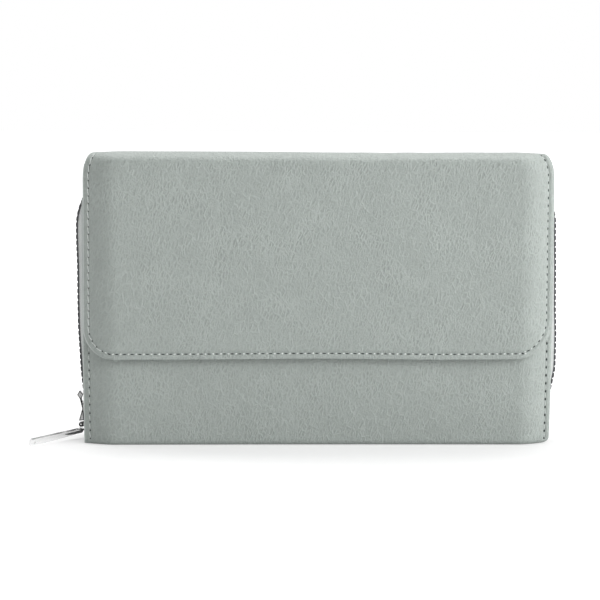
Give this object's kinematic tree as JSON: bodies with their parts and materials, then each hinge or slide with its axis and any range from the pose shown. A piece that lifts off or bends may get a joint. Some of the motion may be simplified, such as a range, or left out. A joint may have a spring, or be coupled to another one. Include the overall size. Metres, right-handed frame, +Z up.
{
  "type": "organizer wallet",
  "caption": "Flap-over wallet in soft leather with a front pocket, a zip-around compartment, stepped card pockets and a zipped coin purse.",
  "frame": {"origin": "on the flat strip under the front case, midway along the wallet", "axes": "+X to the wallet's right as seen from the front, +Y from the flap to the back cover, +Z up from the spine to the flap's fold"},
  "size_m": [0.2199, 0.0403, 0.1205],
  "materials": {
    "shell_leather": "pebbled, satin",
    "inner_leather": "smooth, matte",
    "lining_cloth": "woven, matte",
    "zip_tape": "woven, matte",
    "zip_teeth_metal": "dark, satin",
    "silver_metal": "polished"
  },
  "bodies": {
    "front_case": {"front_panel": "shell_leather", "front_panel_lining": "lining_cloth", "middle_panel": "inner_leather", "flap_hinge_strip": "shell_leather", "front_cover_lining": "lining_cloth", "front_card_pocket_1": "inner_leather", "front_card_pocket_2": "inner_leather", "front_card_pocket_3": "inner_leather", "front_zip_tape": "zip_tape", "front_zip_teeth": "zip_teeth_metal", "snap_stud": "silver_metal", "front_gusset_left": "lining_cloth", "front_gusset_right": "lining_cloth"},
    "flap": {"flap": "shell_leather", "flap_lining": "lining_cloth", "snap_socket": "silver_metal"},
    "coin_purse": {"coin_purse_front": "lining_cloth", "coin_purse_back": "lining_cloth", "coin_purse_edge": "lining_cloth", "coin_purse_hinge_tab": "lining_cloth", "coin_zip_tape_front": "zip_tape", "coin_zip_tape_back": "zip_tape", "coin_zip_teeth_front": "zip_teeth_metal", "coin_zip_teeth_back": "zip_teeth_metal", "back_gusset_left": "lining_cloth", "back_gusset_right": "lining_cloth"},
    "back_cover": {"back_panel": "shell_leather", "back_cover_lining": "lining_cloth", "back_card_pocket_1": "inner_leather", "back_card_pocket_2": "inner_leather", "back_card_pocket_3": "inner_leather", "back_zip_tape": "zip_tape", "back_zip_teeth": "zip_teeth_metal"},
    "zip_slider": {"zip_slider": "silver_metal", "zip_slider_back_plate": "silver_metal"},
    "zip_pull": {"zip_pull": "silver_metal"},
    "coin_zip_slider": {"coin_zip_slider": "silver_metal", "coin_zip_slider_back_plate": "silver_metal"},
    "coin_zip_pull": {"coin_zip_pull": "silver_metal"}
  },
  "joints": [
    {"name": "flap_hinge", "type": "hinge", "parent": "front_case", "child": "flap", "pos_m": [0, -0.0093, 0.119], "axis": [-1, 0, 0], "range_deg": [0, 180]},
    {"name": "purse_hinge", "type": "hinge", "parent": "front_case", "child": "coin_purse", "pos_m": [0, 0.0035, 0], "axis": [-1, 0, 0], "range_deg": [0, 30], "deforming": ["front_gusset_left", "front_gusset_right"]},
    {"name": "cover_hinge", "type": "hinge", "parent": "coin_purse", "child": "back_cover", "pos_m": [0, 0.0035, 0], "axis": [-1, 0, 0], "range_deg": [0, 30], "deforming": ["back_gusset_left", "back_gusset_right"]},
    {"name": "zip_slide", "type": "slide", "parent": "front_case", "child": "zip_slider", "axis": [-0.1115, 0, 0.9938], "range_m": [0, 0.028]},
    {"name": "zip_pull_hinge", "type": "hinge", "parent": "zip_slider", "child": "zip_pull", "pos_m": [-0.09819, 0.0035, 0.0059], "axis": [0, 1, 0], "range_deg": [-15, 75]},
    {"name": "coin_zip_slide", "type": "slide", "parent": "coin_purse", "child": "coin_zip_slider", "axis": [1, 0, 0], "range_m": [0, 0.128]},
    {"name": "coin_zip_pull_hinge", "type": "hinge", "parent": "coin_zip_slider", "child": "coin_zip_pull", "pos_m": [-0.0626, 0.0035, 0.09185], "axis": [0, 1, 0], "range_deg": [0, 140]}
  ],
  "couplings": [
    {"joint": "cover_hinge", "follows": "purse_hinge", "ratio": 1}
  ]
}
